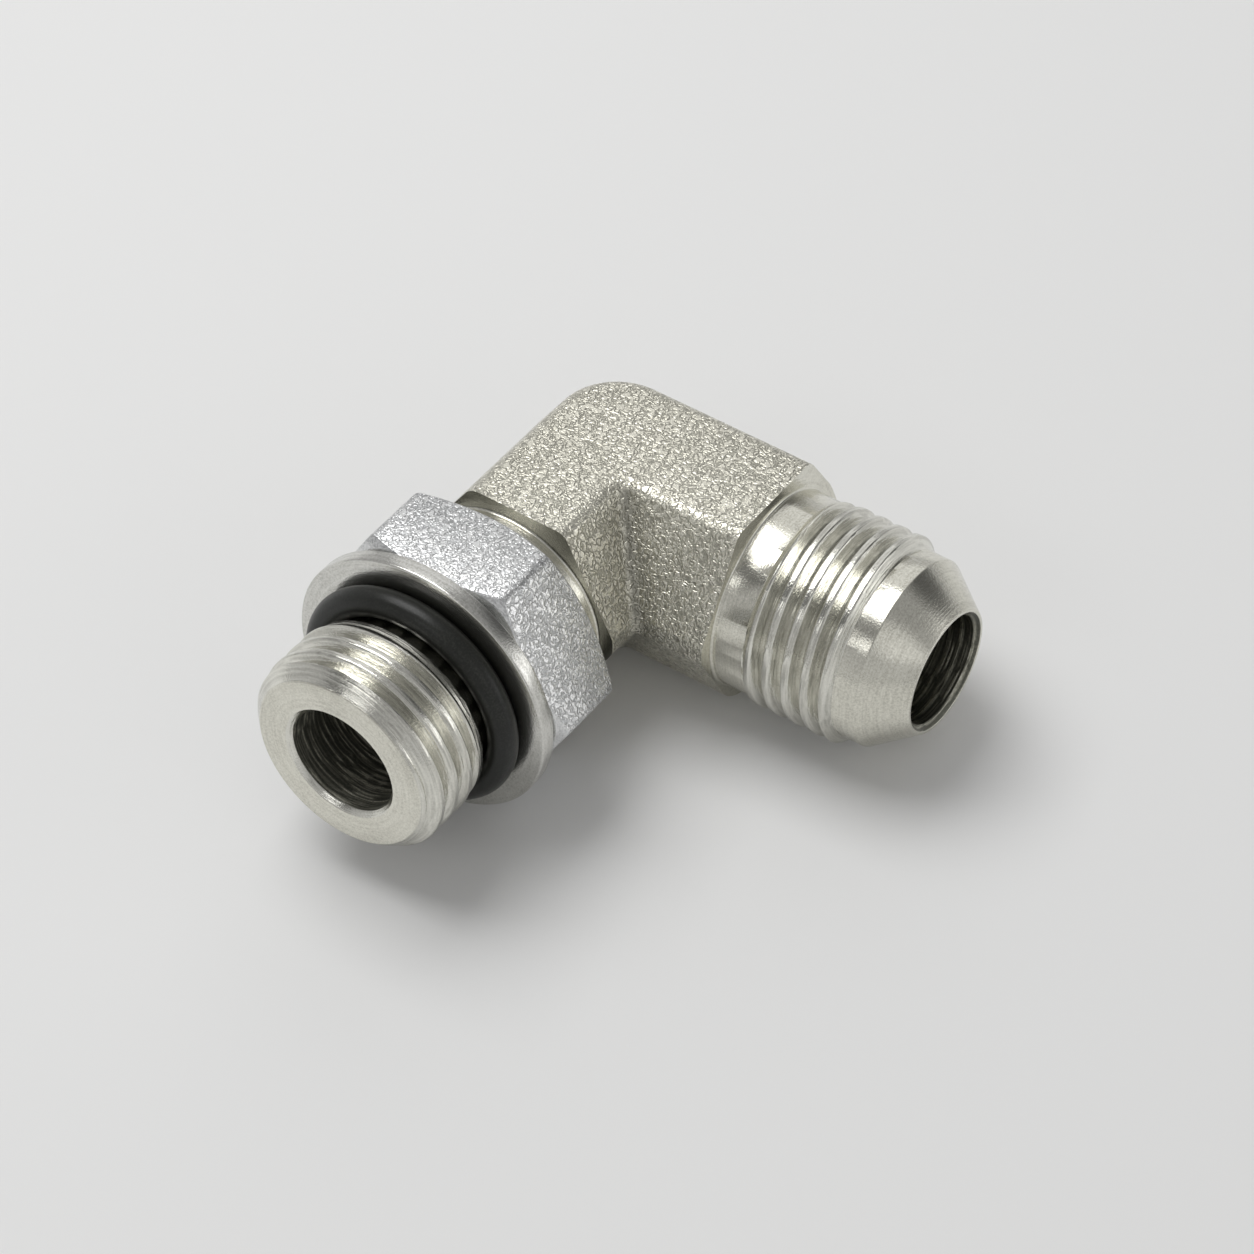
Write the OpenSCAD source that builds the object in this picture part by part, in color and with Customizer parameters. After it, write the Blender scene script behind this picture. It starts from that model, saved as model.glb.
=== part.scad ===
// Adjustable 90 degree elbow: a flared tube end on +X and an O-ring port stud on -Y.
// Origin where the two bore axes cross, +Z square to both axes, millimetres.

/* [Threads] */
// Major diameter of both threads
thread_d = 14.288; // [13.8:0.01:14.8]
// Pitch of both threads
thread_pitch = 1.4111; // [1.2:0.0001:1.6]
// Width of the flat on each thread crest, as a share of the pitch
crest_share = 0.2; // [0.12:0.01:0.3]
// Depth of the thread grooves, as a share of the pitch
groove_share = 0.58; // [0.4:0.01:0.62]

/* [Forged block] */
// Height of the block across its top and bottom faces
block_h = 15.1; // [14.6:0.1:17]
// Height above the bore axes of the middle between the top and bottom faces
block_lift = 0.2; // [0:0.05:0.3]
// Half width of the top face, from a bore axis to its inner edge
top_half_w = 4.1; // [3.4:0.05:5]
// Half width of the block at the upright land along its inner ridge
ridge_half_w = 7.9; // [7.5:0.05:9]
// Height of that land, before its edges are rounded
land_h = 1.2; // [0.4:0.1:2]
// Offset of the heel's upright axis from the centre, towards the flared end
heel_x = 0.75; // [0:0.05:1]
// Offset of the heel's upright axis from the centre, away from the stud
heel_y = 0.3; // [0:0.05:1]
// Distance from the heel's axis to the outer edge of the top and bottom faces
heel_top_r = 3.85; // [3.4:0.05:5]
// Distance from the heel's axis to the bend in the outer side
heel_side_r = 6.6; // [6.2:0.05:6.8]
// Distance from the heel's axis to the outer ridge, before its rounding
heel_ridge_r = 8.15; // [7.8:0.05:9]
// Height of the bend in the outer side, as a share of the half height
side_bend_share = 0.48; // [0.4:0.01:0.65]
// Radius on the bend in the outer side
side_bend_r = 6; // [3:0.5:8]
// Radius on the inner edges of the top face
top_edge_r = 0.9; // [0.3:0.05:1.5]
// Radius on the outer edges of the top face
outer_edge_r = 1.2; // [0.3:0.05:1.5]
// Radius on the edges of the bottom face
bottom_edge_r = 3.6; // [0.9:0.1:4]
// Radius on both edges of the inner ridge's land
ridge_r = 0.8; // [0.3:0.05:1.5]
// Radius on the outer ridge
outer_ridge_r = 1.5; // [0.3:0.05:3]
// Fillet radius in the inner corner between the two legs
corner_fillet_r = 2; // [0.5:0.1:3.5]
// Distance from the centre to the turned face at the flare end of the block
flare_face_x = 13; // [12:0.1:15]
// Distance from the centre to the turned face at the stud end of the block
stud_face_y = 10.4; // [9.5:0.1:12]

/* [Flared end] */
// Diameter of the smooth neck behind the flare thread
flare_neck_d = 13.7; // [13.4:0.05:14]
// Length of the smooth neck, up to the first thread groove
flare_neck_l = 1.15; // [0.9:0.05:1.8]
// Number of full crests on the flare thread
flare_crests = 5; // [4:1:5]
// Diameter of the plain band ahead of the flare thread
flare_band_d = 13; // [12.4:0.05:13.4]
// Distance from the centre to the nose of the flare
flare_nose_x = 26.25; // [25.8:0.05:28]
// Half angle of the sealing cone
cone_angle = 37; // [35:0.5:45]
// Width of the flat lip round the mouth of the flare
lip_w = 0.2; // [0.1:0.05:0.5]
// Fillet radius where a turned neck meets the block
neck_fillet_r = 0.2; // [0.1:0.05:0.5]

/* [Flow bores] */
// Diameter of both flow bores
bore_d = 7.6; // [6.5:0.05:8]
// Width of the bevel at each bore mouth
mouth_bevel = 0.35; // [0.1:0.05:0.5]

/* [Port stud] */
// Distance from the centre to the tip of the stud
stud_tip_y = 28.5; // [28:0.1:30]
// Diameter of the flat face at the tip
tip_face_d = 12.3; // [11.8:0.05:13]
// Number of full crests on the port thread
port_crests = 4; // [3:1:4]
// Diameter of the undercut that carries the O-ring and the washer
undercut_d = 12.1; // [11.8:0.02:12.3]
// Diameter of the plain journal that stands for the thread under the lock nut
journal_d = 13.37; // [13.2:0.01:13.5]
// Diameter of the turned neck between the block and the lock nut
stud_neck_d = 13.6; // [13.5:0.02:14]
// Length of the turned neck
stud_neck_l = 2.0; // [1.6:0.05:2.3]
// Width of the relief groove between the neck and the journal
relief_w = 0.9; // [0.4:0.05:1.2]

/* [Lock nut] */
// Width across the flats of the hexagon
nut_af = 17.46; // [17:0.01:18]
// Thickness of the nut
nut_t = 6.4; // [6:0.05:6.8]
// Diameter of the flat end faces inside the corner chamfers
nut_face_d = 17.1; // [16:0.05:17.4]
// Angle of the corner chamfers against the end faces
nut_chamfer_angle = 30; // [20:1:35]
// Radial running clearance between nut and journal
nut_clearance = 0.04; // [0.02:0.01:0.08]
// Gap between the neck of the body and the back of the nut
nut_back_gap = 0.12; // [0.05:0.01:0.3]
// Diameter of the countersink at each end of the nut's hole
nut_countersink_d = 14.7; // [14:0.05:15.5]

/* [Washer and O-ring] */
// Outside diameter of the back-up washer
washer_d = 18.9; // [18:0.05:20]
// Thickness of the back-up washer
washer_t = 1.1; // [0.9:0.05:1.3]
// Width of the bevel on the front rim of the washer
washer_bevel = 0.22; // [0.1:0.02:0.35]
// Thickness of the O-ring's section
ring_section = 1.96; // [1.8:0.02:2.1]
// Radial running clearance of washer and O-ring on the undercut
undercut_clearance = 0.04; // [0.02:0.01:0.08]
// Gap left between pieces that push each other along the stud
push_gap = 0.02; // [0.01:0.01:0.05]

/* [Hidden] */
$fn = 96;
// Small overlap that lets a cutting shape pass through a face
eps = 0.01;

thread_r = thread_d / 2;
crest_w = crest_share * thread_pitch;
groove_depth = groove_share * thread_pitch;
// The groove's floor keeps the flank angle of 60 degrees between the flanks
floor_w = thread_pitch - crest_w - 2 * groove_depth * tan(30);
root_r = thread_r - groove_depth;
bore_r = bore_d / 2;
mouth_r = bore_r + mouth_bevel;
top_z = block_h / 2 + block_lift;
bottom_z = block_h / 2 - block_lift;
side_bend_z = side_bend_share * block_h / 2;
land_z = land_h / 2;

// Stations along the stud, counted from the centre towards the tip
neck_end = stud_face_y + stud_neck_l;
journal_start = neck_end + relief_w;
nut_back = neck_end + nut_back_gap;
nut_front = nut_back + nut_t;
journal_end = nut_front - washer_t;
washer_back = nut_front + push_gap;
washer_front = washer_back + washer_t;
ring_mid = washer_front + push_gap + ring_section / 2;
tip_chamfer = thread_r - tip_face_d / 2;
port_crest_tip = stud_tip_y - tip_chamfer;
port_thread_end = port_crest_tip - crest_w - (port_crests - 1) * thread_pitch;
port_runout = (thread_r - undercut_d / 2) * tan(30);

// Stations along the flared end, counted from the centre towards the nose
flare_thread_start = flare_face_x + flare_neck_l;
flare_thread_end = flare_thread_start + flare_crests * thread_pitch;
flare_band_r = flare_band_d / 2;
lip_r = mouth_r + lip_w;
cone_start = flare_nose_x - (flare_band_r - lip_r) / tan(cone_angle);

// Outline of one thread groove, as radius and station pairs, from the edge of a crest
function groove(start) = [
    [thread_r + eps, start - eps * tan(30)],
    [root_r, start + groove_depth * tan(30)],
    [root_r, start + groove_depth * tan(30) + floor_w],
    [thread_r + eps, start + thread_pitch - crest_w + eps * tan(30)]
];

// Unit vector from corner b of an outline towards corner a
function towards(a, b) = (a - b) / norm(a - b);

// Points of an outline whose corners are rounded: each corner is [x, y, radius]
function rounded_corner(a, b, c, r) =
    let (
        pb = [b[0], b[1]],
        u = towards([a[0], a[1]], pb),
        v = towards([c[0], c[1]], pb),
        half = acos(u * v) / 2,
        centre = pb + towards(u + v, [0, 0]) * r / sin(half),
        first = pb + u * r / tan(half) - centre,
        last = pb + v * r / tan(half) - centre,
        a0 = atan2(first[1], first[0]),
        turn = (atan2(last[1], last[0]) - a0 + 540) % 360 - 180,
        steps = max(2, ceil(abs(turn) / 9))
    )
    [for (i = [0 : steps]) centre + r * [cos(a0 + turn * i / steps), sin(a0 + turn * i / steps)]];

function rounded_outline(corners) =
    let (n = len(corners))
    [for (i = [0 : n - 1]) each
        rounded_corner(corners[(i + n - 1) % n], corners[i], corners[(i + 1) % n], corners[i][2])];

// Corners of a leg's section, each with its edge radius, outer side first. The outer corners are
// counted from the heel's axis, which lies out from the leg's bore axis by shift.
function section_corners(shift) = [
    [shift + heel_top_r, top_z, outer_edge_r], [shift + heel_side_r, side_bend_z, side_bend_r],
    [shift + heel_ridge_r, 0, outer_ridge_r], [shift + heel_side_r, -side_bend_z, side_bend_r / 2],
    [shift + heel_top_r, -bottom_z, bottom_edge_r], [-top_half_w, -bottom_z, bottom_edge_r],
    [-ridge_half_w, -land_z, ridge_r], [-ridge_half_w, land_z, ridge_r],
    [-top_half_w, top_z, top_edge_r]
];

// A leg of the block along +X, from the heel's axis out to its turned face
module block_leg(start, length, shift)
    translate([start, 0, 0]) rotate([90, 0, 90]) linear_extrude(length - start)
        polygon(rounded_outline(section_corners(shift)));

// The outer heel is the outer side of the section turned about the heel's axis
module block_heel()
    translate([heel_x, heel_y, 0]) rotate_extrude() polygon(concat(
        [[0, top_z]], [for (p = rounded_outline(section_corners(0))) if (p[0] > 0) p],
        [[0, -bottom_z]]));

// Fillet web in the valley between the legs, from the ridge's land up to a face at height face_z
// whose edges have the radius edge_r. It ends on the plane through both edges of that rounding.
module valley_fillet(face_z, edge_r) {
    top = [top_half_w, -top_half_w, face_z];
    run = [ridge_half_w, -ridge_half_w, land_z] - top;
    line_l = norm(run);
    // Unit vector down a leg's inner side, as width and height
    slope = towards([ridge_half_w, land_z], [top_half_w, face_z]);
    half_open = 90 - acos(slope[0] * slope[0]) / 2;
    reach = corner_fillet_r / sin(half_open);
    side = corner_fillet_r / tan(half_open);
    end_x = sqrt(2) * (top_half_w - edge_r * tan(acos(slope[0]) / 2));
    land_x = end_x - sqrt(2) * (face_z - land_z) * (1 + slope[0]) / slope[1];
    intersection() {
        translate(top) rotate([0, acos(run[2] / line_l), -45]) translate([0, 0, -face_z]) difference() {
            linear_extrude(line_l + 2 * face_z) polygon([
                [corner_fillet_r, 0], [-side * cos(half_open), side * sin(half_open)],
                [-side * cos(half_open), -side * sin(half_open)]
            ]);
            translate([-reach, 0, -eps]) cylinder(r = corner_fillet_r, h = line_l + 2 * face_z + 2 * eps);
        }
        rotate([90, 0, -45]) translate([0, 0, -ridge_half_w]) linear_extrude(2 * ridge_half_w)
            polygon([[0, land_z], [land_x, land_z], [end_x, face_z], [0, face_z]]);
    }
}

// Upright fillet between the lands of the two legs, as wide as the webs above and below it
module land_fillet() {
    slope = towards([ridge_half_w, land_z], [top_half_w, top_z]);
    r = corner_fillet_r / tan(90 - acos(slope[0] * slope[0]) / 2) * norm([1, slope[0]]);
    translate([ridge_half_w, -ridge_half_w, -land_z]) difference() {
        translate([-eps, -r, 0]) cube([r + eps, r + eps, land_h]);
        translate([r, -r, -eps]) cylinder(r = r, h = land_h + 2 * eps);
    }
}

module forged_block() {
    block_leg(heel_x, flare_face_x, heel_y);
    mirror([1, 1, 0]) block_leg(-heel_y, stud_face_y, -heel_x);
    block_heel();
    valley_fillet(top_z, top_edge_r);
    mirror([0, 0, 1]) valley_fillet(bottom_z, bottom_edge_r);
    land_fillet();
}

// Profile points of the fillet where a neck of radius r rises from a turned face
function neck_fillet(r, station) = [for (a = [0 : 15 : 90])
    [r + neck_fillet_r * (1 - sin(a)), station + neck_fillet_r * (1 - cos(a))]];

// Turned flared end, as a profile about the +X axis
module flared_end()
    rotate([0, 90, 0]) rotate_extrude() difference() {
        polygon(concat(
            [[0, 0], [mouth_r, 0], [mouth_r, flare_face_x]],
            neck_fillet(flare_neck_d / 2, flare_face_x),
            [
                [flare_neck_d / 2, flare_thread_start], [thread_r, flare_thread_start],
                [thread_r, flare_thread_end],
                [flare_band_r, flare_thread_end + thread_r - flare_band_r], [flare_band_r, cone_start],
                [lip_r, flare_nose_x], [0, flare_nose_x]
            ]
        ));
        for (i = [0 : flare_crests - 1])
            polygon(groove(flare_thread_start + i * thread_pitch));
    }

// Turned stud, as a profile about the -Y axis
module port_stud()
    rotate([90, 0, 0]) rotate_extrude() difference() {
        polygon(concat(
            [[0, 0], [mouth_r, 0], [mouth_r, stud_face_y]],
            neck_fillet(stud_neck_d / 2, stud_face_y),
            [
                [stud_neck_d / 2, neck_end], [undercut_d / 2, neck_end],
                [undercut_d / 2, journal_start - (journal_d - undercut_d) / 2],
                [journal_d / 2, journal_start], [journal_d / 2, journal_end],
                [undercut_d / 2, journal_end], [undercut_d / 2, port_thread_end - port_runout],
                [thread_r, port_thread_end], [thread_r, port_crest_tip],
                [tip_face_d / 2, stud_tip_y], [0, stud_tip_y]
            ]
        ));
        for (i = [0 : port_crests - 1])
            polygon(groove(port_thread_end + crest_w + i * thread_pitch));
    }

// A blind flow bore up the Z axis, drilled from its mouth down past the centre
module flow_bore(mouth_z) {
    drill_point = bore_r / tan(59);
    translate([0, 0, -bore_r / 2]) cylinder(r = bore_r, h = mouth_z + bore_r);
    translate([0, 0, -bore_r / 2 - drill_point]) cylinder(r1 = 0, r2 = bore_r, h = drill_point);
    translate([0, 0, mouth_z - mouth_bevel])
        cylinder(r1 = bore_r, r2 = mouth_r + eps, h = mouth_bevel + eps);
}

module elbow_body()
    color("#b9b6a6") difference() {
        union() {
            forged_block();
            flared_end();
            port_stud();
        }
        rotate([0, 90, 0]) flow_bore(flare_nose_x);
        rotate([90, 0, 0]) flow_bore(stud_tip_y);
    }

// Hexagon with flats top and bottom, its corners turned back to cones at both ends
module lock_nut()
    color("#b4b7bb") rotate([90, 0, 0]) difference() {
        corner_r = nut_af / 2 / cos(30);
        face_r = nut_face_d / 2;
        chamfer_l = (corner_r - face_r) * tan(nut_chamfer_angle);
        // The nut is put on over both the journal and the undercut
        hole_r = max(journal_d, undercut_d) / 2 + nut_clearance;
        sink_l = (nut_countersink_d / 2 - hole_r) * tan(45);
        intersection() {
            translate([0, 0, nut_back]) cylinder(r = corner_r, h = nut_t, $fn = 6);
            translate([0, 0, nut_back]) rotate_extrude() polygon([
                [0, 0], [face_r, 0], [corner_r, chamfer_l],
                [corner_r, nut_t - chamfer_l], [face_r, nut_t], [0, nut_t]
            ]);
        }
        translate([0, 0, nut_back - eps]) cylinder(r = hole_r, h = nut_t + 2 * eps);
        translate([0, 0, nut_back - eps])
            cylinder(r1 = nut_countersink_d / 2 + eps, r2 = hole_r, h = sink_l + eps);
        translate([0, 0, nut_front - sink_l])
            cylinder(r1 = hole_r, r2 = nut_countersink_d / 2 + eps, h = sink_l + eps);
    }

module backup_washer()
    color("#a9aaa8") rotate([90, 0, 0]) rotate_extrude() polygon([
        [undercut_d / 2 + undercut_clearance, washer_back], [washer_d / 2, washer_back],
        [washer_d / 2, washer_front - washer_bevel],
        [washer_d / 2 - washer_bevel, washer_front],
        [undercut_d / 2 + undercut_clearance, washer_front]
    ]);

module o_ring()
    color("#1d1d1c") rotate([90, 0, 0]) translate([0, 0, ring_mid]) rotate_extrude()
        translate([undercut_d / 2 + undercut_clearance + ring_section / 2, 0])
            circle(ring_section / 2);

elbow_body();
lock_nut();
backup_washer();
o_ring();
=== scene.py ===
import math

import bmesh
import bpy
from mathutils import Matrix, Vector


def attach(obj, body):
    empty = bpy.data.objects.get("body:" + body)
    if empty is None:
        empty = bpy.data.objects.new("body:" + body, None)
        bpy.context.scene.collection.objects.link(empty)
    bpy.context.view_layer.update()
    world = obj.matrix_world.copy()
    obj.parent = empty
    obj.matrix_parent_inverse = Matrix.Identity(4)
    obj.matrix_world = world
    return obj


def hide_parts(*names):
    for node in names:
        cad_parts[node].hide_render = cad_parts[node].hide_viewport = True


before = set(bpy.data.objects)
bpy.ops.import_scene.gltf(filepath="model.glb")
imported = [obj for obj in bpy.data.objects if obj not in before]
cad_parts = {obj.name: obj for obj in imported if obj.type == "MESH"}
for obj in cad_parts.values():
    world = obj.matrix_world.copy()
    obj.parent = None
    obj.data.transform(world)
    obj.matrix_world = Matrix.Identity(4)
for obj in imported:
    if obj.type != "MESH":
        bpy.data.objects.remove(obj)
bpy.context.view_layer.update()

# Shapes are built in millimetres and brought to metres at the end
millimetre = 0.001
turnSteps = 144
weld = 1e-4  # points nearer than this become one
close = 1e-3  # points nearer than this to a plane lie on it
sharpAngle = 35  # edges steeper than this stay sharp
cornerRoom = {"end": 0.9, "middle": 0.48}  # share of a profile's side that one soft corner may take
arcStep = 22  # degrees of a soft corner per side
alongFlare = Matrix.Rotation(math.radians(90), 4, "Y")  # stations on Z become stations on +X
alongStud = Matrix.Rotation(math.radians(90), 4, "X")  # stations on Z become stations on -Y


# Shape helpers

def softCorners(points):
    # points are (radius, station, corner radius); the corners come back as short arcs
    line = []
    last = len(points) - 1
    for k, (r, z, soft) in enumerate(points):
        here = Vector((r, z))
        if soft <= 0 or k in (0, last):
            line.append(here)
            continue
        before = Vector(points[k - 1][:2]) - here
        after = Vector(points[k + 1][:2]) - here
        half = before.angle(after) / 2
        reach = min(soft / math.tan(half),
                    before.length * cornerRoom["end" if k == 1 else "middle"],
                    after.length * cornerRoom["end" if k == last - 1 else "middle"])
        start = before.normalized() * reach
        end = after.normalized() * reach
        centre = (start + end).normalized() * reach / math.cos(half)
        turn = math.pi - 2 * half
        steps = max(2, round(math.degrees(turn) / arcStep))
        for i in range(steps + 1):
            t = i / steps
            a = (start - centre) * (math.sin((1 - t) * turn) / math.sin(turn))
            b = (end - centre) * (math.sin(t * turn) / math.sin(turn))
            line.append(here + centre + a + b)
    return line


def pick(made, kind):
    return [g for g in made if isinstance(g, kind)]


def pointLine(bm, points, closed=False):
    verts = [bm.verts.new(p) for p in points]
    following = verts[1:] + verts[:1] if closed else verts[1:]
    return verts, [bm.edges.new(pair) for pair in zip(verts, following)]


def openLoop(bm, z):
    return [e for e in bm.edges
            if e.is_boundary and all(abs(v.co.z - z) < close for v in e.verts)]


def extruded(bm, loop, place):
    # a new row of points from an open loop, each put where place says
    grown = bmesh.ops.extrude_edge_only(bm, edges=loop)["geom"]
    for v in pick(grown, bmesh.types.BMVert):
        v.co = place(v.co)
    return [e for e in pick(grown, bmesh.types.BMEdge) if e.is_boundary]


def growLoop(bm, loop, line):
    # carries an open round loop along a profile, keeping each point's own angle
    for r, z in line:
        loop = extruded(bm, loop, lambda co: (*(Vector((co.x, co.y)).normalized() * r), z))


def rounded(bm, geom, offset, segments, affect="EDGES", clamp=False):
    bmesh.ops.bevel(bm, geom=geom, offset=offset, offset_type="OFFSET", segments=segments,
                    profile=0.5, affect=affect, material=-1, clamp_overlap=clamp)


def cutOff(bm, spot, way):
    bmesh.ops.bisect_plane(bm, geom=bm.verts[:] + bm.edges[:] + bm.faces[:], dist=1e-5,
                           plane_co=spot, plane_no=way, clear_outer=True)


def report(name, bm):
    odd = sum(not e.is_manifold for e in bm.edges)
    print(f"{name}: {len(bm.faces)} faces, {odd} open or odd edges, "
          f"{bm.calc_volume(signed=True):.1f} cubic mm")


def radiusAt(rows, z):
    # from rows of (station, radius, next station, next radius), level past both ends
    for z1, r1, z2, r2 in rows:
        if z1 <= z <= z2:
            return r1 + (r2 - r1) * (z - z1) / (z2 - z1)
    return rows[0][1] if z < rows[0][0] else rows[-1][3]


def screwThread(bm, spec):
    # a right-handed thread: one long ridge line, turned once round while it climbs one pitch
    pitch, depth, start, end = (spec[k] for k in ("pitch", "depth", "start", "end"))
    perPitch, taps = spec["perPitch"], spec["taps"]
    flank = depth * math.tan(math.radians(spec["flankAngle"])) / pitch
    crest = spec["crestShare"] / 2
    blur = spec["softness"] / pitch

    def sunk(u):
        u = abs((u + 0.5) % 1 - 0.5)
        return depth * min(max((u - crest) / flank, 0), 1)

    def ridge(u):
        near = [sunk(u + blur * k / taps) for k in range(-taps, taps + 1)]
        return spec["majorR"] - sum(near) / len(near)

    # the line climbs a pitch while it turns, so it starts a little over one pitch early
    lead, spare = 1.1, 1.2
    count = math.ceil((end - start) / pitch + spare) * perPitch
    z0 = start - pitch * lead
    stations = [z0 + i * pitch / perPitch for i in range(count + 1)]
    verts, edges = pointLine(bm, [(ridge((z - spec["phase"]) / pitch), 0, z) for z in stations])
    bmesh.ops.spin(bm, geom=verts + edges, cent=(0, 0, 0), axis=(0, 0, 1), angle=2 * math.pi,
                   dvec=(0, 0, pitch / turnSteps), steps=turnSteps, use_merge=False)
    bmesh.ops.remove_doubles(bm, verts=bm.verts, dist=close)
    for v in bm.verts:
        r = math.hypot(v.co.x, v.co.y)
        wanted = max(min(r, radiusAt(spec["ceiling"], v.co.z)), radiusAt(spec["bed"], v.co.z))
        v.co.x *= wanted / r
        v.co.y *= wanted / r
    cutOff(bm, (0, 0, start), (0, 0, -1))
    cutOff(bm, (0, 0, end), (0, 0, 1))


# Elbow body

blockSpec = {
    # half outlines as (distance out, height): outer from the heel's axis, inner from the bore axes
    "outer": [(0, 7.75), (3.85, 7.75), (6.6, 3.624), (8.15, 0), (6.6, -3.624), (3.85, -7.35),
              (0, -7.35)],
    "inner": [(4.1, 7.75), (7.9, 0.6), (7.9, -0.6), (4.1, -7.35)],
    "heel": (0.75, 0.3), "heelSteps": 32, "flareFace": 13.0, "studFace": 10.4,
    "valleySoft": 0.7, "valleySteps": 12, "footMargin": 0.06,
    # edges rounded at a height: side, height, setback, segments
    "soft": [("inner", 7.75, 0.541, 6), ("outer", 7.75, 0.642, 7), ("inner", -7.35, 2.1, 12),
             ("outer", -7.35, 1.82, 12), ("inner", 0.6, 0.2, 4), ("inner", -0.6, 0.21, 4),
             ("outer", 3.624, 0.553, 4), ("outer", 0, 0.643, 6), ("outer", -3.624, 0.347, 3)],
    "heightSlack": 0.2, "edgeAngle": 6,  # how far off its height, and how flat, such an edge may be
}
# places in the body's list of finishes
finishOf = {"forged": 0, "flare": 1, "stud": 2, "flareBore": 3, "studBore": 4,
            "flareThread": 5, "studThread": 6}


def forgedBlock(spec):
    bm = bmesh.new()
    heelX, heelY = spec["heel"]

    def runLegs(studEdges, flareEdges):
        extruded(bm, studEdges, lambda co: (co.x, -spec["studFace"], co.z))
        extruded(bm, flareEdges, lambda co: (spec["flareFace"], co.y, co.z))

    # outer half: the section turned round the heel, then run out along both legs
    verts, edges = pointLine(bm, [(heelX - p, heelY, z) for p, z in spec["outer"]])
    heel = bmesh.ops.spin(bm, geom=verts + edges, cent=(heelX, heelY, 0), axis=(0, 0, -1),
                          angle=math.radians(90), steps=spec["heelSteps"],
                          use_merge=False)["geom_last"]
    runLegs(edges, pick(heel, bmesh.types.BMEdge))
    # inner half: the legs meet on a mitre
    top, low = spec["inner"][0][1], spec["inner"][-1][1]
    verts, edges = pointLine(bm, [(heelX, heelY, top), *((p, -p, z) for p, z in spec["inner"]),
                                  (heelX, heelY, low)])
    runLegs(edges, edges)
    bmesh.ops.remove_doubles(bm, verts=bm.verts, dist=weld)
    bmesh.ops.recalc_face_normals(bm, faces=bm.faces)

    def valley(e):
        return all(abs(v.co.x + v.co.y) < weld and v.co.x > spec["inner"][0][0] - close
                   for v in e.verts)

    def sharpAt(e, side, height):
        inner = all(v.co.x > 1 and v.co.y < -1 for v in e.verts)
        return (inner == (side == "inner")
                and all(abs(v.co.z - height) < spec["heightSlack"] for v in e.verts)
                and e.calc_face_angle(0) > math.radians(spec["edgeAngle"]))

    def soften(test, offset, segments):
        rounded(bm, [e for e in bm.edges if not e.is_boundary and test(e)], offset, segments)

    soften(valley, spec["valleySoft"], spec["valleySteps"])
    for side, height, offset, segments in spec["soft"]:
        soften(lambda e: sharpAt(e, side, height), offset, segments)
    return bm


# "meet" is where the drilled ends join the crossing; "lap" is left open there for a joining ring
boreSpec = {"r": 3.8, "meet": 6.0, "overrun": 2, "lap": 0.5, "slack": 0.1, "pointAngle": 118,
            "tipR": 0.02}

# both threads are 18 to the inch; "ceiling" and "bed" hold the ridge between two radii
threadSpec = {"pitch": 1.4111, "majorR": 7.144, "depth": 0.818, "flankAngle": 30,
              "crestShare": 0.3, "softness": 0.05, "perPitch": 24, "taps": 4}

# profile rows are (radius, station from the centre, corner radius); both tips stop 0.1 micron
# short of 26.25 and 28.5, inside the CAD's box
flareSpec = {
    "thread": {**threadSpec, "phase": 16.17, "start": 15.3, "end": 21.86,
               "ceiling": [(15.3, 6.85, 15.7, 7.144), (15.7, 7.144, 21.45, 7.144),
                           (21.45, 7.144, 21.86, 6.5)],
               "bed": [(15.3, 6.85, 15.7, 6.3), (15.7, 6.3, 21.6, 6.3), (21.6, 6.3, 21.86, 6.5)]},
    "toBlock": [(6.85, 15.3, 0), (6.85, 13.0, 0.2), (7.05, 13.0, 0)],
    "toOpen": [(6.5, 21.86, 0), (6.5, 23.4, 0.16), (4.35, 26.2499, 0.06), (4.15, 26.2499, 0.04),
               (3.8, 25.9, 0.05), (3.8, 6.0, 0)],
    "turned": "flare", "boreFrom": 4.12,
}

studSpec = {
    "thread": {**threadSpec, "phase": 23.13, "start": 22.36, "end": 28.42,
               "ceiling": [(22.36, 6.05, 22.82, 6.85), (22.82, 6.85, 23.4, 6.95),
                           (23.4, 6.95, 23.75, 7.144), (23.75, 7.144, 27.506, 7.144),
                           (27.506, 7.144, 28.42, 6.23)],
               "bed": [(22.36, 6.05, 22.82, 6.85), (22.82, 6.85, 23.3, 6.94),
                       (23.3, 6.94, 23.8, 6.3), (23.8, 6.3, 28.42, 6)]},
    "toBlock": [(6.05, 22.36, 0), (6.05, 17.82, 0.1), (6.685, 17.82, 0.05), (6.685, 13.3, 0.05),
                (6.05, 12.665, 0.1), (6.05, 12.4, 0.05), (6.8, 12.4, 0.12), (6.8, 10.4, 0.2),
                (7.0, 10.4, 0)],
    "toOpen": [(6.23, 28.42, 0), (6.15, 28.4999, 0.1), (4.15, 28.4999, 0.05), (3.8, 28.15, 0.05),
               (3.8, 6.0, 0)],
    "turned": "stud", "boreFrom": 3.81,
}


def turnedEnd(spec, place):
    bm = bmesh.new()
    thread = spec["thread"]
    screwThread(bm, thread)
    for line, z in (("toBlock", thread["start"]), ("toOpen", thread["end"])):
        growLoop(bm, openLoop(bm, z), softCorners(spec[line])[1:])
    for f in bm.faces:
        spot = f.calc_center_median()
        where = "Thread" if thread["start"] < spot.z < thread["end"] else ""
        if math.hypot(spot.x, spot.y) < spec["boreFrom"]:
            where = "Bore"
        f.material_index = finishOf[spec["turned"] + where]
    bmesh.ops.transform(bm, matrix=place, verts=bm.verts)
    return bm


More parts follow.
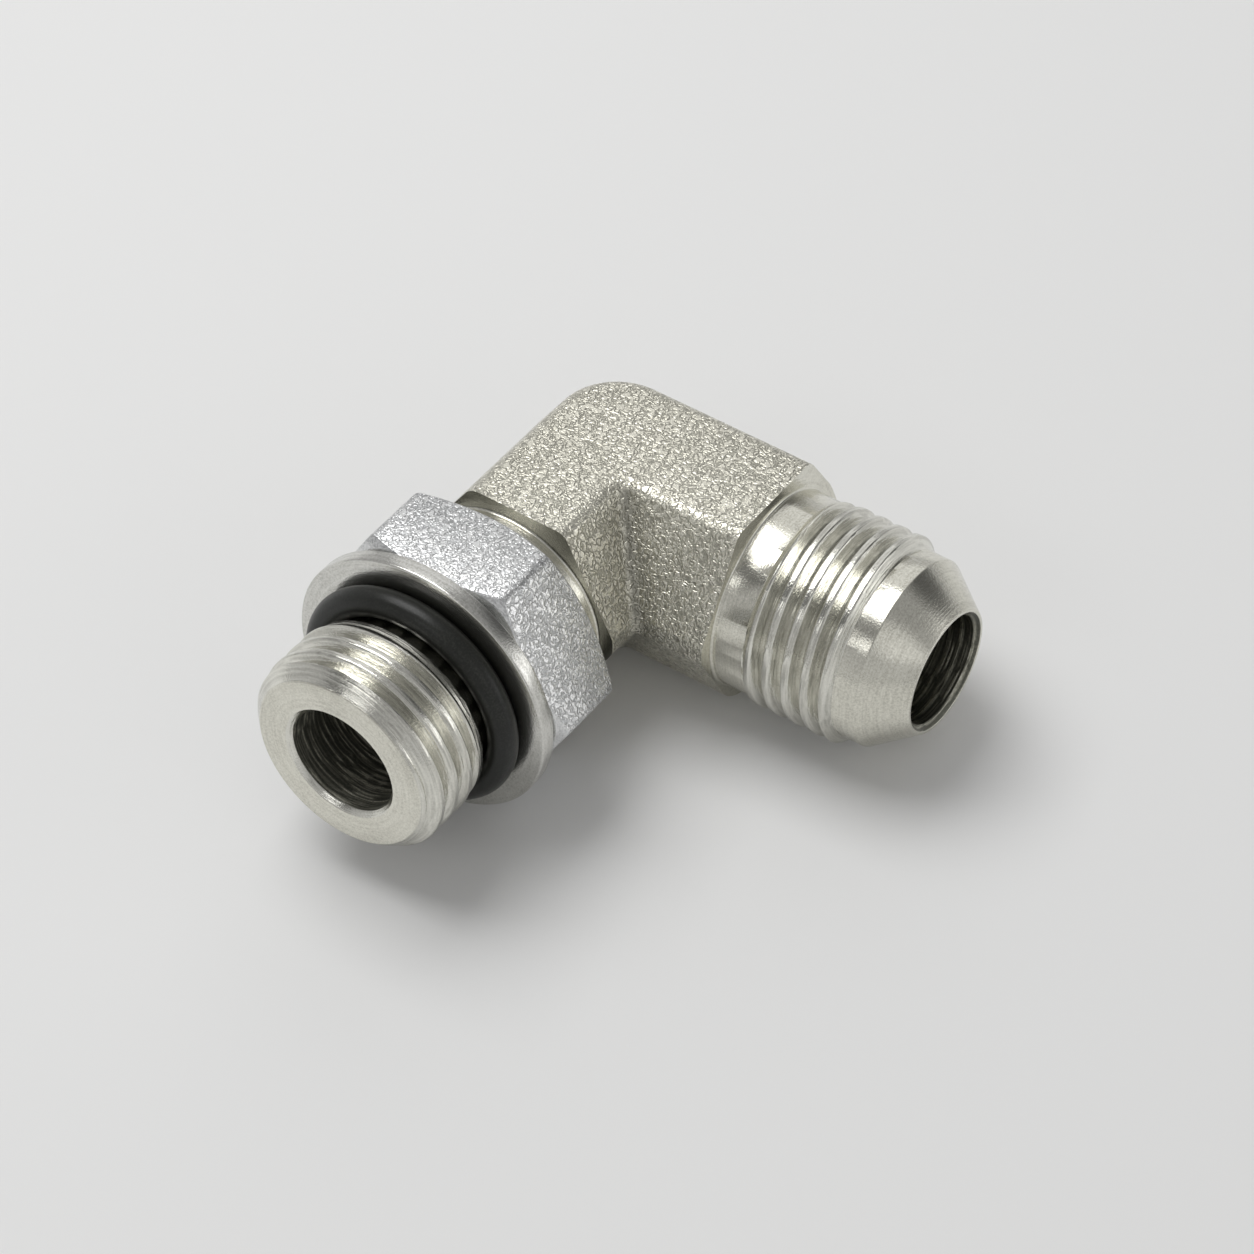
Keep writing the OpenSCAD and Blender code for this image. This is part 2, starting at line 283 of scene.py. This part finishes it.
def keepFootInside(bm, spec):
    # the stud's neck is almost as wide as its leg, so its foot stops at the leg's outer side
    corners = [Vector((spec["heel"][0] - p, z)) for p, z in spec["outer"][1:-1]]
    foot = [v for v in bm.verts if abs(v.co.y + spec["studFace"]) < weld]
    for a, b in zip(corners, corners[1:]):
        out = Vector((b.y - a.y, a.x - b.x)).normalized()
        for v in foot:
            past = Vector((v.co.x, v.co.z)).dot(out) - a.dot(out) + spec["footMargin"]
            if past > 0:
                v.co.x -= out.x * past
                v.co.z -= out.y * past


def drill(spec):
    # a blind drill hole on Z, from its mouth down past the centre to the drill point
    bm = bmesh.new()
    r = spec["r"]
    made = bmesh.ops.create_circle(bm, segments=turnSteps, radius=r)
    bmesh.ops.translate(bm, verts=made["verts"], vec=(0, 0, spec["meet"] + spec["overrun"]))
    point = -r / 2 - r / math.tan(math.radians(spec["pointAngle"] / 2))
    growLoop(bm, bm.edges[:], [(r, -r / 2), (spec["tipR"], point)])
    bmesh.ops.holes_fill(bm, edges=bm.edges[:], sides=0)
    bmesh.ops.recalc_face_normals(bm, faces=bm.faces)
    return bm


def asObject(bm, name):
    mesh = bpy.data.meshes.new(name)
    bm.to_mesh(mesh)
    bm.free()
    obj = bpy.data.objects.new(name, mesh)
    bpy.context.scene.collection.objects.link(obj)
    return obj


def crossedBores(spec):
    # both drill holes joined, cut back to the crossing
    cutters = []
    for name, place in (("drillFlare", alongFlare), ("drillStud", alongStud)):
        bm = drill(spec)
        bmesh.ops.transform(bm, matrix=place, verts=bm.verts)
        cutters.append(asObject(bm, name))
    join = cutters[0].modifiers.new("join", "BOOLEAN")
    join.operation, join.solver, join.object = "UNION", "EXACT", cutters[1]
    bm = bmesh.new()
    bm.from_mesh(cutters[0].evaluated_get(bpy.context.evaluated_depsgraph_get()).data)
    for c in cutters:
        bpy.data.objects.remove(c)
    for way in ((1, 0, 0), (0, -1, 0)):
        cutOff(bm, Vector(way) * (spec["meet"] - spec["lap"]), way)
    for f in bm.faces:
        f.material_index = finishOf["studBore"]
    return bm


def joinEnd(bm, axis, sign, face, finish):
    # closes the block's face round the turned end, then its bore on to the crossing
    rim = [e for e in bm.edges if e.is_boundary
           and all(abs(v.co[axis] - sign * face) < close for v in e.verts)]
    cap = bmesh.ops.triangle_fill(bm, use_beauty=True, edges=rim)["geom"]
    for f in pick(cap, bmesh.types.BMFace):
        f.material_index = finishOf[finish]
    half, slack = boreSpec["lap"] / 2, boreSpec["slack"]
    deep = [e for e in bm.edges if e.is_boundary
            and all(abs(sign * v.co[axis] - boreSpec["meet"] + half) < half + slack
                    and math.hypot(v.co[1 - axis], v.co.z) < boreSpec["r"] + slack
                    for v in e.verts)]
    for f in bmesh.ops.bridge_loops(bm, edges=deep)["faces"]:
        f.material_index = finishOf[finish + "Bore"]


def elbowBody():
    bm = forgedBlock(blockSpec)
    stud = turnedEnd(studSpec, alongStud)
    keepFootInside(stud, blockSpec)
    bores = crossedBores(boreSpec)
    for part in (turnedEnd(flareSpec, alongFlare), stud, bores):
        mesh = bpy.data.meshes.new("part")
        part.to_mesh(mesh)
        part.free()
        bm.from_mesh(mesh)
        bpy.data.meshes.remove(mesh)
    joinEnd(bm, 0, 1, blockSpec["flareFace"], "flare")
    joinEnd(bm, 1, -1, blockSpec["studFace"], "stud")
    bmesh.ops.recalc_face_normals(bm, faces=bm.faces)
    report("elbow body", bm)
    return bm


def finished(bm, name, body, node, materials):
    bmesh.ops.scale(bm, vec=(millimetre,) * 3, verts=bm.verts)
    for f in bm.faces:
        f.smooth = True
    obj = asObject(bm, name)
    obj.data.set_sharp_from_angle(angle=math.radians(sharpAngle))
    for m in materials:
        obj.data.materials.append(m)
    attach(obj, body)
    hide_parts(node)


# Lock nut, washer and O-ring

nutSpec = {
    "flats": 17.46, "thick": 6.4, "back": 12.52, "faceR": 8.55, "chamferAngle": 30,
    "cornerSoft": 0.35, "cornerSteps": 4, "rimSoft": 0.09, "rimSteps": 2,
    "holeR": 6.725, "sinkR": 7.35, "perFlat": 20, "flatSlope": 0.2,
}


def lockNut(s):
    bm = bmesh.new()
    t, face, hole, mouth = s["thick"], s["faceR"], s["holeR"], s["sinkR"]
    rise = math.tan(math.radians(s["chamferAngle"]))
    sink = mouth - hole
    cornerR = s["flats"] / 2 / math.cos(math.radians(30))
    corners = bmesh.ops.create_circle(bm, segments=6, radius=cornerR)["verts"]
    rounded(bm, corners, s["cornerSoft"], s["cornerSteps"], affect="VERTICES")
    flats = [e for e in bm.edges if e.calc_length() > s["flats"] / 4]
    bmesh.ops.subdivide_edges(bm, edges=flats, cuts=s["perFlat"])

    def drop(r):
        return max(r - face, 0) * rise

    def ringUp(loop, radiusAndHeight):
        def place(co):
            r = math.hypot(co.x, co.y)
            radius, z = radiusAndHeight(r)
            return co.x * (radius / r), co.y * (radius / r), z
        return extruded(bm, loop, place)

    side = bm.edges[:]
    for v in bm.verts:
        v.co.z = drop(math.hypot(v.co.x, v.co.y))
    top = ringUp(side, lambda r: (r, t - drop(r)))
    top = ringUp(top, lambda r: (min(r, face), t))
    for radius, z in ((mouth, t), (hole, t - sink), (hole, sink), (mouth, 0)):
        top = ringUp(top, lambda r: (radius, z))
    low = ringUp(side, lambda r: (min(r, face), 0))
    bmesh.ops.bridge_loops(bm, edges=top + low)
    bmesh.ops.remove_doubles(bm, verts=bm.verts, dist=weld)
    bmesh.ops.translate(bm, verts=bm.verts, vec=(0, 0, s["back"]))
    bmesh.ops.recalc_face_normals(bm, faces=bm.faces)
    for f in bm.faces:  # the six flats are rolled, everything else is turned
        spot = f.calc_center_median()
        flat = abs(f.normal.z) < s["flatSlope"] and math.hypot(spot.x, spot.y) > mouth
        f.material_index = 0 if flat else 1
    rim = [e for e in bm.edges if len({f.material_index for f in e.link_faces}) == 2]
    rounded(bm, rim, s["rimSoft"], s["rimSteps"], clamp=True)
    bmesh.ops.rotate(bm, verts=bm.verts, cent=(0, 0, 0),
                     matrix=Matrix.Rotation(math.radians(90), 3, "Z"))
    bmesh.ops.transform(bm, matrix=alongStud, verts=bm.verts)
    report("lock nut", bm)
    return bm


def turnedRing(bm, name):
    # the closed section in bm, turned once round Z and laid along the stud
    bmesh.ops.spin(bm, geom=bm.verts[:] + bm.edges[:], cent=(0, 0, 0), axis=(0, 0, 1),
                   angle=2 * math.pi, steps=turnSteps, use_merge=True)
    bmesh.ops.remove_doubles(bm, verts=bm.verts, dist=weld)
    bmesh.ops.recalc_face_normals(bm, faces=bm.faces)
    bmesh.ops.transform(bm, matrix=alongStud, verts=bm.verts)
    report(name, bm)
    return bm


washerSpec = {"holeR": 6.09, "rimR": 9.448, "back": 18.94, "front": 20.04, "backSoft": 0.1,
              "frontSoft": 0.13, "holeSoft": 0.08}


def backupWasher(s):
    bm = bmesh.new()
    line = [(s["holeR"], s["back"], s["holeSoft"]), (s["rimR"], s["back"], s["backSoft"]),
            (s["rimR"], s["front"], s["frontSoft"]), (s["holeR"], s["front"], s["holeSoft"])]
    points = softCorners([line[-1], *line, line[0]])[1:-1]
    pointLine(bm, [(r, 0, z) for r, z in points], closed=True)
    return turnedRing(bm, "washer")


ringSpec = {"middleR": 7.07, "sectionR": 0.98, "station": 21.04, "sectionSteps": 40}


def oRing(s):
    bm = bmesh.new()
    bmesh.ops.create_circle(bm, segments=s["sectionSteps"], radius=s["sectionR"],
                            matrix=Matrix.Translation((s["middleR"], 0, s["station"]))
                            @ Matrix.Rotation(math.radians(90), 4, "X"))
    return turnedRing(bm, "O-ring")


# Finishes

def addNode(tree, kind, **values):
    made = tree.nodes.new(kind)
    for key, value in values.items():
        if key in made.inputs:
            made.inputs[key].default_value = value
        else:
            setattr(made, key, value)
    return made


def mapped(tree, value, start, end, low=0, high=1):
    node = addNode(tree, "ShaderNodeMapRange", **{"From Min": low, "From Max": high,
                                                  "To Min": start, "To Max": end})
    tree.links.new(value, node.inputs["Value"])
    return node.outputs["Result"]


def combined(tree, operation, first, second):
    node = addNode(tree, "ShaderNodeMath", operation=operation)
    tree.links.new(first, node.inputs[0])
    tree.links.new(second, node.inputs[1])
    return node.outputs[0]


def alongWay(tree, spot, way):
    node = addNode(tree, "ShaderNodeVectorMath", operation="DOT_PRODUCT")
    node.inputs[1].default_value = way
    tree.links.new(spot, node.inputs[0])
    return node.outputs["Value"]


def noise(tree, vector, scale, detail, distortion):
    node = addNode(tree, "ShaderNodeTexNoise", Scale=scale, Detail=detail, Distortion=distortion)
    tree.links.new(vector, node.inputs["Vector"])
    return node.outputs["Fac"]


def pattern(tree, vector, scale, detail, distortion, low, high):
    # noise with its middle range drawn out to 0..1
    return mapped(tree, noise(tree, vector, scale, detail, distortion), 0, 1, low, high)


def wormLines(tree, vector, scale, detail, distortion, width):
    # thin winding lines where the noise crosses its middle
    off = mapped(tree, noise(tree, vector, scale, detail, distortion), -1, 1)
    size = addNode(tree, "ShaderNodeMath", operation="ABSOLUTE")
    tree.links.new(off, size.inputs[0])
    return mapped(tree, size.outputs[0], 0, 1, 0, width)


def shared(tree, first, second, share):
    node = addNode(tree, "ShaderNodeMix", data_type="FLOAT")
    node.inputs[0].default_value = share
    tree.links.new(first, node.inputs[2])
    tree.links.new(second, node.inputs[3])
    return node.outputs[0]


def roundAxis(tree, spot, axis, waver, unevenness):
    # distance from the turning axis and place along it, so a pattern runs round the piece
    flat = addNode(tree, "ShaderNodeVectorMath", operation="MULTIPLY")
    flat.inputs[1].default_value = [0 if k == axis else 1 for k in range(3)]
    reach = addNode(tree, "ShaderNodeVectorMath", operation="LENGTH")
    split = addNode(tree, "ShaderNodeSeparateXYZ")
    join = addNode(tree, "ShaderNodeCombineXYZ")
    tree.links.new(spot, flat.inputs[0])
    tree.links.new(flat.outputs[0], reach.inputs[0])
    tree.links.new(spot, split.inputs[0])
    tree.links.new(reach.outputs["Value"], join.inputs[0])
    tree.links.new(split.outputs[axis], join.inputs[1])
    tree.links.new(mapped(tree, pattern(tree, spot, *unevenness), 0, waver), join.inputs[2])
    return join.outputs[0]


def withPaintedShade(tree, tone, spot, rows):
    # painted shade: the tone goes down only where every row's share is low
    shade = None
    for way, low, high, start, end in rows:
        part = mapped(tree, alongWay(tree, spot, way), start, end, low, high)
        shade = combined(tree, "MAXIMUM", shade, part) if shade else part
    return combined(tree, "MULTIPLY", tone, shade)


def metalFinish(name, s):
    # relief, tone and gloss follow one pattern: a fine relief, a finer grain and a broad change
    material = bpy.data.materials.new(name)
    material.use_nodes = True
    tree = material.node_tree
    shader = tree.nodes["Principled BSDF"]
    where = spot = addNode(tree, "ShaderNodeTexCoord").outputs["Object"]
    if "turnedOn" in s:
        where = roundAxis(tree, spot, s["turnedOn"], s["waver"], s["unevenness"])
    makeRelief, rows = (wormLines, s["worms"]) if "worms" in s else (pattern, s["relief"])
    relief = makeRelief(tree, where, *rows)
    height = shared(tree, relief, pattern(tree, spot, *s["grain"]), s["grainShare"])
    tone = shared(tree, height, pattern(tree, spot, *s["broad"]), s["broadShare"])
    # the tone is pulled down along the inner corner crease as painted shade
    toneWithPaintedShade = withPaintedShade(tree, tone, spot, s["corner"]) if "corner" in s else tone
    ramp = addNode(tree, "ShaderNodeValToRGB")
    while len(ramp.color_ramp.elements) < len(s["tones"]):
        ramp.color_ramp.elements.new(0.5)
    for stop, (place, color) in zip(ramp.color_ramp.elements, s["tones"]):
        stop.position, stop.color = place, (*color, 1)
    tree.links.new(toneWithPaintedShade, ramp.inputs["Fac"])
    tree.links.new(ramp.outputs["Color"], shader.inputs["Base Color"])
    tree.links.new(mapped(tree, tone, *s["gloss"]), shader.inputs["Roughness"])
    bump = addNode(tree, "ShaderNodeBump", Strength=s["bump"], Distance=s["depth"])
    tree.links.new(height, bump.inputs["Height"])
    tree.links.new(bump.outputs["Normal"], shader.inputs["Normal"])
    shader.inputs["Metallic"].default_value = s["metal"]
    shader.inputs["Specular IOR Level"].default_value = s["shine"]
    return material


# Noise rows are scale, detail, distortion, low and high end of the range used. "gloss" is the
# roughness in the low and the high parts of the tone, "depth" the relief's height in metres
forgedSkin = {
    "worms": (2500, 1, 0.7, 0.24), "grain": (8000, 2, 0, 0.35, 0.65), "grainShare": 0.25,
    "broad": (110, 2, 0.3, 0.3, 0.7), "broadShare": 0.12, "gloss": (0.36, 0.24),
    "bump": 1, "depth": 5e-5, "metal": 1, "shine": 0.5,
    # the darkest stop is reached mostly where the painted crease shade pulls the tone down
    "tones": [(0, (0.16, 0.155, 0.13)), (0.1, (0.36, 0.35, 0.3)), (0.6, (0.68, 0.66, 0.57)),
              (0.95, (0.84, 0.82, 0.72))],
}
# painted shade darkens the block's inner corner crease: direction, near and far distance, share at
# each
paintedCreaseShade = [((0.707, 0.707, 0), -4e-4, 0, 1, 0.12), ((0.707, 0.707, 0), 0, 1.5e-3, 0.12, 1),
               ((1, -1, 0), 8.6e-3, 9.6e-3, 1, 0.12)]
turnedSkin = {
    "relief": (7000, 2, 0, 0.35, 0.65), "waver": 5e-4, "unevenness": (260, 1, 0, 0.3, 0.7),
    "grain": (7500, 2, 0.3, 0.35, 0.65), "grainShare": 0.6,
    "broad": (150, 2, 0.3, 0.3, 0.7), "broadShare": 0.3, "gloss": (0.26, 0.14),
    "bump": 0.45, "depth": 1.2e-5, "metal": 1, "shine": 0.5,
    "tones": [(0.1, (0.53, 0.518, 0.455)), (0.5, (0.69, 0.677, 0.6)), (0.9, (0.8, 0.788, 0.71))],
}
threadSkin = {
    **turnedSkin, "relief": (5600, 2, 0, 0.38, 0.62), "grainShare": 0.3,
    "gloss": (0.24, 0.13), "depth": 2.6e-5,
    "tones": [(0.1, (0.5, 0.492, 0.445)), (0.5, (0.67, 0.662, 0.605)), (0.9, (0.8, 0.792, 0.73))],
}
# the bores' dark tones are painted shade inside the drilled holes; the light stop draws the
# tool-mark rings
boreSkinAndPaintedShade = {
    **turnedSkin, "relief": (4800, 3, 0, 0.42, 0.66), "grainShare": 0.15, "broadShare": 0.1,
    "gloss": (0.4, 0.26), "depth": 3e-5,
    "tones": [(0.1, (0.09, 0.09, 0.075)), (0.5, (0.27, 0.265, 0.22)), (0.95, (0.85, 0.83, 0.72))],
}
nutFlats = {
    **forgedSkin, "worms": (3000, 1, 0.7, 0.24), "gloss": (0.34, 0.24), "depth": 3.5e-5,
    "tones": [(0.06, (0.4, 0.405, 0.41)), (0.55, (0.67, 0.675, 0.675)),
              (0.94, (0.8, 0.805, 0.8))],
}
nutTurned = {**turnedSkin, "turnedOn": 1, "gloss": (0.26, 0.15), "tones": nutFlats["tones"]}
washerSkin = {
    **turnedSkin, "turnedOn": 1, "relief": (5200, 2, 0, 0.35, 0.65), "gloss": (0.26, 0.15),
    "tones": [(0.1, (0.5, 0.495, 0.46)), (0.5, (0.66, 0.655, 0.62)), (0.9, (0.77, 0.765, 0.73))],
}
rubberSkin = {
    **turnedSkin, "turnedOn": 1, "relief": (3000, 2, 0, 0.3, 0.7), "gloss": (0.38, 0.28),
    "depth": 8e-6, "metal": 0, "shine": 0.3,
    "tones": [(0.1, (0.01, 0.0105, 0.009)), (0.6, (0.016, 0.0168, 0.0145)),
              (0.95, (0.03, 0.0312, 0.027))],
}

# in the order of finishOf; "turnedOn" is the turning axis, 0 for X and 1 for Y
bodyFinishes = [
    metalFinish("forgedPlating", {**forgedSkin, "corner": paintedCreaseShade}),
    metalFinish("flareTurned", {**turnedSkin, "turnedOn": 0}),
    metalFinish("studTurned", {**turnedSkin, "turnedOn": 1}),
    metalFinish("flareBore", {**boreSkinAndPaintedShade, "turnedOn": 0}),
    metalFinish("studBore", {**boreSkinAndPaintedShade, "turnedOn": 1, "metal": 0.7}),
    metalFinish("flareThread", {**threadSkin, "turnedOn": 0}),
    metalFinish("studThread", {**threadSkin, "turnedOn": 1}),
]
nutFinishes = [metalFinish("nutFlats", nutFlats), metalFinish("nutTurned", nutTurned)]
print("finishes made")

finished(elbowBody(), "elbowBody", "fitting", "elbow_body", bodyFinishes)
finished(lockNut(nutSpec), "lockNut", "nut", "lock_nut", nutFinishes)
finished(backupWasher(washerSpec), "backupWasher", "seal_set", "backup_washer",
         [metalFinish("washerPlating", washerSkin)])
finished(oRing(ringSpec), "oRing", "seal_set", "o_ring",
         [metalFinish("sealRubber", rubberSkin)])
print("pieces made")

# Camera, floor and light

cameraSpec = {"azimuth": 34.4, "elevation": 43.3, "roll": 0.8, "distance": 0.2926,
              "aimRight": 0.001495, "aimDown": 0.007918,
              "lens": 128.7, "sensor": 36, "near": 0.01, "far": 10}
# the part leans on its washer and heel, so the floor is tilted to it; a sheet of white paper
floorSpec = {"tilt": 5.605, "drop": 0.00759, "half": 1.5,
             "color": (0.8, 0.8, 0.795), "roughness": 0.8}


def cameraAxes(s):
    a, e = math.radians(s["azimuth"]), math.radians(s["elevation"])
    back = Vector((math.sin(a) * math.cos(e), -math.cos(a) * math.cos(e), math.sin(e)))
    right = Vector((math.cos(a), math.sin(a), 0))
    right.rotate(Matrix.Rotation(math.radians(s["roll"]), 3, back))
    return back, right, back.cross(right)


def placeCamera(s):
    back, right, up = cameraAxes(s)
    spot = back * s["distance"]
    aim = right * s["aimRight"] - up * s["aimDown"]
    look = (spot - aim).normalized()
    side = up.cross(look).normalized()
    turned = Matrix((side, look.cross(side), look)).transposed().to_4x4()
    data = bpy.data.cameras.new("camera")
    data.lens, data.sensor_width = s["lens"], s["sensor"]
    data.clip_start, data.clip_end = s["near"], s["far"]
    camera = bpy.data.objects.new("camera", data)
    camera.matrix_world = Matrix.Translation(spot) @ turned
    bpy.context.scene.collection.objects.link(camera)
    bpy.context.scene.camera = camera


def areaLight(name, way, distance, size, watts):
    data = bpy.data.lights.new(name, "AREA")
    data.shape, data.size, data.size_y = "RECTANGLE", *size
    data.energy = watts
    light = bpy.data.objects.new(name, data)
    light.location = Vector(way).normalized() * distance
    light.rotation_euler = (-light.location).to_track_quat("-Z", "Y").to_euler()
    bpy.context.scene.collection.objects.link(light)


def studioFloor(s):
    paper = bpy.data.materials.new("paper")
    paper.use_nodes = True
    shader = paper.node_tree.nodes["Principled BSDF"]
    shader.inputs["Base Color"].default_value = (*s["color"], 1)
    shader.inputs["Roughness"].default_value = s["roughness"]
    bm = bmesh.new()
    bmesh.ops.create_grid(bm, x_segments=2, y_segments=2, size=s["half"])
    bmesh.ops.rotate(bm, verts=bm.verts, cent=(0, 0, 0),
                     matrix=Matrix.Rotation(math.radians(s["tilt"]), 3, "X"))
    bmesh.ops.translate(bm, verts=bm.verts, vec=(0, 0, -s["drop"]))
    floor = asObject(bm, "floor")
    floor.data.materials.append(paper)


def studioWorld(s):
    # pale at the horizon and dimmer overhead; the sides that differ draw the edges
    world = bpy.data.worlds.new("studio")
    world.use_nodes = True
    tree = world.node_tree
    way = addNode(tree, "ShaderNodeTexCoord").outputs["Generated"]
    split = addNode(tree, "ShaderNodeSeparateXYZ")
    tree.links.new(way, split.inputs[0])
    level = mapped(tree, split.outputs[2], s["horizon"], s["overhead"], *s["climb"])
    for toward, outer, inner, share in s["sides"]:
        near = alongWay(tree, way, Vector(toward).normalized())
        level = combined(tree, "MULTIPLY", level, mapped(tree, near, 1, share, outer, inner))
    tree.links.new(level, tree.nodes["Background"].inputs["Strength"])
    tree.nodes["Background"].inputs["Color"].default_value = (1, 1, 1, 1)
    bpy.context.scene.world = world


# name, direction, distance, size, watts
lightSpec = [
    ("keyBox", (-0.38, -0.06, 0.92), 0.45, (0.3, 0.3), 1.22),
    ("backPanel", (-0.4, 0.62, 0.68), 0.6, (0.44, 0.44), 0.27),
    ("frontPanel", (-0.14, -0.8, 0.59), 0.6, (0.25, 0.1), 0.1),
    ("rightPanel", (0.82, -0.34, 0.47), 0.6, (0.28, 0.28), 0.1),
]
# two dim sides and a bright one low on the right: direction, cosines where the change begins
# and is full, share of the light there
worldSpec = {"horizon": 0.56, "overhead": 0.35, "climb": (0.08, 0.6),
             "sides": [((0.46, 0.74, 0.5), 0.92, 0.98, 0.25),
                       ((-0.44, -0.5, 0.75), 0.94, 0.98, 0.3),
                       ((0.86, 0.5, 0.05), 0.86, 0.97, 3.0)]}

placeCamera(cameraSpec)
studioFloor(floorSpec)
for light in lightSpec:
    areaLight(*light)
studioWorld(worldSpec)
bpy.context.scene.view_settings.view_transform = "Standard"
print("stage set")

bpy.context.view_layer.update()
